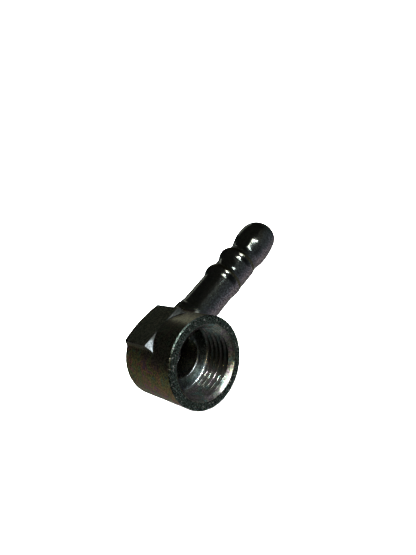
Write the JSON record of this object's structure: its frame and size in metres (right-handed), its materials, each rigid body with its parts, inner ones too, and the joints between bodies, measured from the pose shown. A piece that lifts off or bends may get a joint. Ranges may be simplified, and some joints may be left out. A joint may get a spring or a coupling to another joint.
{
  "type": "gas elbow fitting",
  "caption": "One-piece plated steel gas elbow: a round cup with a female pipe thread and wrench flats, and a barbed hose tail leaving its domed back at a right angle.",
  "frame": {"origin": "centre of the threaded cup's mouth, in the plane of its rim", "axes": "-Y points out of the threaded mouth along the cup's axis, +X runs along the hose tail towards its tip, and +Z is the outward normal of the upper wrench flat"},
  "size_m": [0.0722, 0.0262, 0.026],
  "materials": {
    "plated_steel": "zinc plated with a dark olive, iridescent chromate; satin and a little uneven"
  },
  "bodies": {
    "root": {"elbow_body": "plated_steel"}
  },
  "joints": []
}
